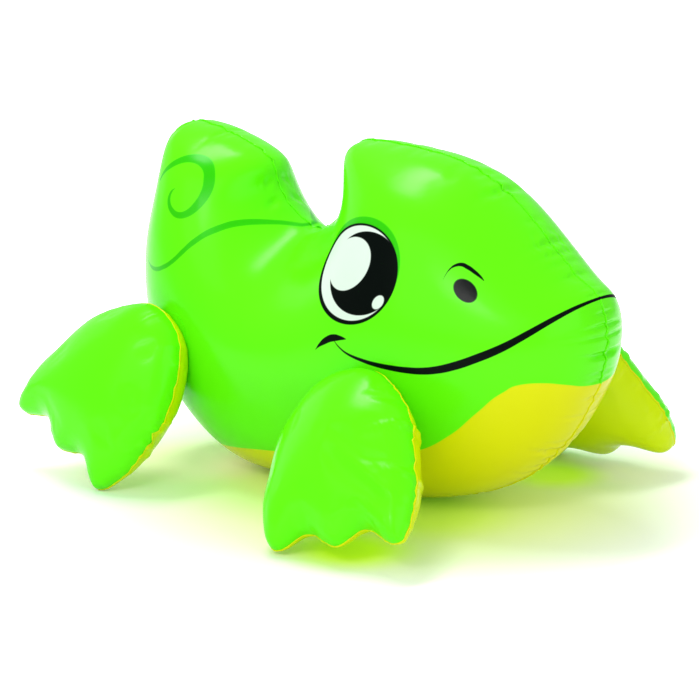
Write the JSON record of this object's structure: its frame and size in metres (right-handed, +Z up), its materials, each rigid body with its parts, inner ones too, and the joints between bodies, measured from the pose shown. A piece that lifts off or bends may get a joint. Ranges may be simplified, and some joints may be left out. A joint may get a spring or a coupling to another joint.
{
  "type": "inflatable pool toy",
  "caption": "Inflatable lizard-like pool toy of welded vinyl film: a rounded body with an upright tail, splayed webbed flippers welded to its sides and a push-in air valve.",
  "frame": {"origin": "on the floor under the middle of the flattened belly, on the middle plane", "axes": "+X to the nose, +Y to the animal's left, +Z up"},
  "size_m": [0.4303, 0.3423, 0.2512],
  "materials": {
    "green_vinyl": "glossy printed vinyl film",
    "yellow_vinyl": "glossy vinyl film",
    "valve_vinyl": "soft moulded clear vinyl"
  },
  "bodies": {
    "body": {"body_panel_right": "green_vinyl", "body_panel_left": "green_vinyl", "body_seam": "green_vinyl", "front_right_weld": "green_vinyl", "front_left_weld": "green_vinyl", "rear_right_weld": "green_vinyl", "rear_left_weld": "green_vinyl", "valve_base": "valve_vinyl"},
    "front_right_flipper": {"front_right_outer_panel": "green_vinyl", "front_right_inner_panel": "yellow_vinyl", "front_right_seam": "yellow_vinyl"},
    "front_left_flipper": {"front_left_outer_panel": "green_vinyl", "front_left_inner_panel": "yellow_vinyl", "front_left_seam": "yellow_vinyl"},
    "rear_right_flipper": {"rear_right_outer_panel": "green_vinyl", "rear_right_inner_panel": "yellow_vinyl", "rear_right_seam": "yellow_vinyl"},
    "rear_left_flipper": {"rear_left_outer_panel": "green_vinyl", "rear_left_inner_panel": "yellow_vinyl", "rear_left_seam": "yellow_vinyl"},
    "valve_stem": {"valve_stem": "valve_vinyl"},
    "valve_flap": {"valve_flap": "valve_vinyl"},
    "valve_plug": {"valve_plug": "valve_vinyl"}
  },
  "joints": [
    {"name": "front_right_flipper_flap", "type": "hinge", "parent": "body", "child": "front_right_flipper", "pos_m": [0.04593, -0.09012, 0.1115], "axis": [-0.9968, -0.0803, 0], "range_deg": [0, 35], "stiffness_Nm_per_rad": 0.3},
    {"name": "front_left_flipper_flap", "type": "hinge", "parent": "body", "child": "front_left_flipper", "pos_m": [0.05774, 0.08904, 0.11895], "axis": [0.9933, -0.1159, 0], "range_deg": [0, 35], "stiffness_Nm_per_rad": 0.3},
    {"name": "rear_right_flipper_flap", "type": "hinge", "parent": "body", "child": "rear_right_flipper", "pos_m": [-0.13986, -0.07752, 0.12498], "axis": [-0.9714, 0.2373, 0], "range_deg": [0, 35], "stiffness_Nm_per_rad": 0.3},
    {"name": "rear_left_flipper_flap", "type": "hinge", "parent": "body", "child": "rear_left_flipper", "pos_m": [-0.13986, 0.07752, 0.12498], "axis": [0.9714, 0.2373, 0], "range_deg": [0, 35], "stiffness_Nm_per_rad": 0.3},
    {"name": "valve_stem_slide", "type": "slide", "parent": "body", "child": "valve_stem", "axis": [-0.0921, 0.9342, 0.3447], "range_m": [0, 0.007]},
    {"name": "valve_plug_hinge", "type": "hinge", "parent": "valve_stem", "child": "valve_plug", "pos_m": [-0.04796, 0.08266, 0.13037], "axis": [0.9952, 0.0981, 0], "range_deg": [0, 110]},
    {"name": "valve_flap_hinge", "type": "hinge", "parent": "valve_stem", "child": "valve_flap", "pos_m": [-0.04685, 0.07141, 0.1226], "axis": [-0.9952, -0.0981, 0], "range_deg": [0, 40], "stiffness_Nm_per_rad": 0.00005}
  ]
}
